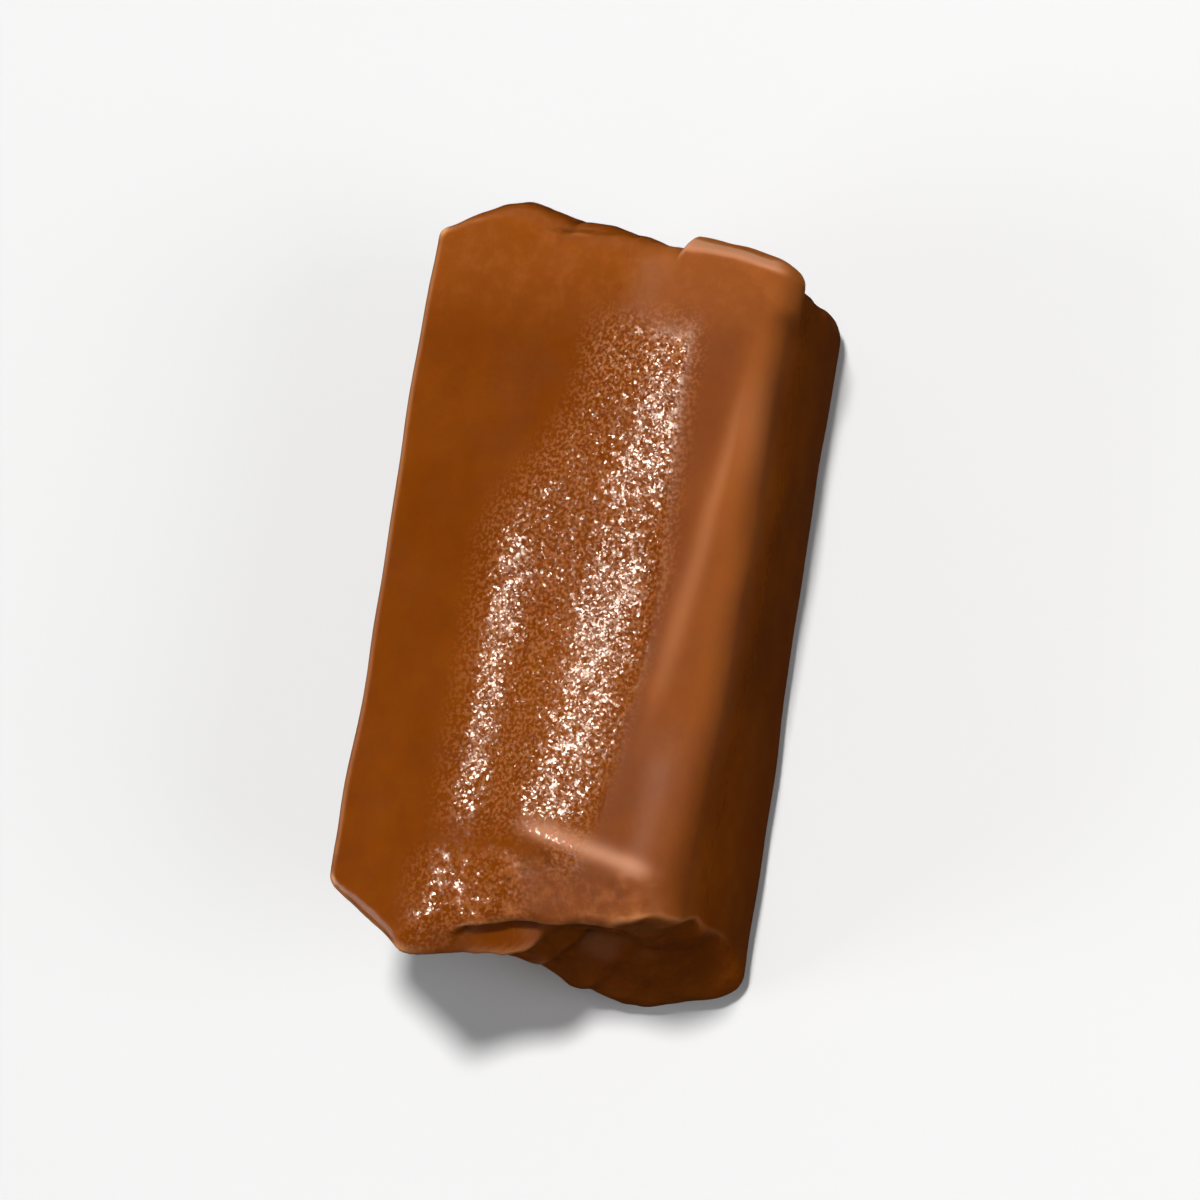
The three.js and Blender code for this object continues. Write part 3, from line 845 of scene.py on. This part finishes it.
def caramel_material():
    nodes = Nodes("caramel_sweet")
    shader = nodes.shader
    coordinates = nodes.add("ShaderNodeTexCoord").outputs["Object"]
    grain = nodes.attribute("grain")
    nodes.link(caramel_colour(nodes, coordinates, grain), shader.inputs["Base Color"])
    nodes.link(caramel_normal(nodes, coordinates, grain), shader.inputs["Normal"])
    gloss = nodes.spread_noise(coordinates, "gloss", *ROUGHNESSES)
    matte = nodes.times(nodes.attribute("matte"), MATTE_ROUGHNESS)
    nodes.link(nodes.math("ADD", gloss, matte), shader.inputs["Roughness"])
    shader.inputs["Specular IOR Level"].default_value = SPECULAR_LEVEL
    shader.inputs["Specular Tint"].default_value = SPECULAR_TINT
    shader.inputs["IOR"].default_value = REFRACTION
    shader.inputs["Subsurface Weight"].default_value = 1
    shader.inputs["Subsurface Radius"].default_value = LIGHT_TRAVEL
    shader.inputs["Subsurface Scale"].default_value = MM
    return nodes.material


def floor_material():
    nodes = Nodes("pale_floor")
    nodes.shader.inputs["Base Color"].default_value = FLOOR_COLOUR
    nodes.shader.inputs["Roughness"].default_value = FLOOR_ROUGHNESS
    nodes.shader.inputs["Specular IOR Level"].default_value = FLOOR_SPECULAR_LEVEL
    return nodes.material


def add_floor():
    """A plain floor, which the sweet neither reflects nor takes light from."""
    corners = [(x * FLOOR_HALF, y * FLOOR_HALF, 0) for x, y in ((-1, -1), (1, -1), (1, 1), (-1, 1))]
    mesh = bpy.data.meshes.new("floor")
    mesh.from_pydata(corners, [], [(0, 1, 2, 3)])
    floor = bpy.data.objects.new("floor", mesh)
    bpy.context.scene.collection.objects.link(floor)
    floor.data.materials.append(floor_material())
    floor.visible_glossy = False
    floor.visible_diffuse = False


def add_area_light(name, direction, distance, size, power, colour=(1, 1, 1)):
    light = bpy.data.lights.new(name, "AREA")
    light.shape = "DISK"
    light.size = size
    light.energy = power
    light.color = colour
    lamp = bpy.data.objects.new(name, light)
    lamp.location = VIEW_TARGET + direction * distance
    lamp.rotation_mode = "QUATERNION"
    lamp.rotation_quaternion = direction.to_track_quat("Z", "Y")
    bpy.context.scene.collection.objects.link(lamp)


def add_world():
    """Soft surrounding light that changes with the height it comes from."""
    world = bpy.data.worlds.new("studio")
    world.use_nodes = True
    tree = world.node_tree
    direction = tree.nodes.new("ShaderNodeTexCoord").outputs["Generated"]
    parts = tree.nodes.new("ShaderNodeSeparateXYZ")
    height_share = tree.nodes.new("ShaderNodeMapRange")
    height_share.inputs["From Min"].default_value = -1
    strength_by_height = tree.nodes.new("ShaderNodeValToRGB")
    stops = strength_by_height.color_ramp.elements
    for height, strength in WORLD_BY_HEIGHT:
        stop = stops.new((height + 1) / 2)
        stop.color = (strength, strength, strength, 1)
    stops.remove(stops[0])
    stops.remove(stops[-1])
    tree.links.new(direction, parts.inputs["Vector"])
    tree.links.new(parts.outputs["Z"], height_share.inputs["Value"])
    tree.links.new(height_share.outputs["Result"], strength_by_height.inputs["Fac"])
    tree.links.new(strength_by_height.outputs["Color"], tree.nodes["Background"].inputs["Color"])
    bpy.context.scene.world = world


def add_camera():
    camera_data = bpy.data.cameras.new("camera")
    camera_data.lens = VIEW_LENS
    camera_data.clip_start = VIEW_NEAREST
    camera = bpy.data.objects.new("camera", camera_data)
    right = VIEW_UP.cross(VIEW_BACK).normalized()
    up = VIEW_BACK.cross(right)
    turn = Matrix((right, up, VIEW_BACK)).transposed()
    camera.matrix_world = Matrix.Translation(VIEW_TARGET + VIEW_BACK * VIEW_DISTANCE) @ turn.to_4x4()
    bpy.context.scene.collection.objects.link(camera)
    bpy.context.scene.camera = camera


sweet = caramel_piece()
sweet.data.materials.append(caramel_material())
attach(sweet, "root")
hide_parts("caramel")

add_floor()
add_world()
add_area_light("key", KEY_FROM, KEY_DISTANCE, KEY_SIZE, KEY_POWER, KEY_COLOUR)
add_area_light("fill", FILL_FROM, FILL_DISTANCE, FILL_SIZE, FILL_POWER)
add_area_light("back", BACK_FROM, FILL_DISTANCE, FILL_SIZE, BACK_POWER)
add_camera()
bpy.context.scene.view_settings.view_transform = "Standard"
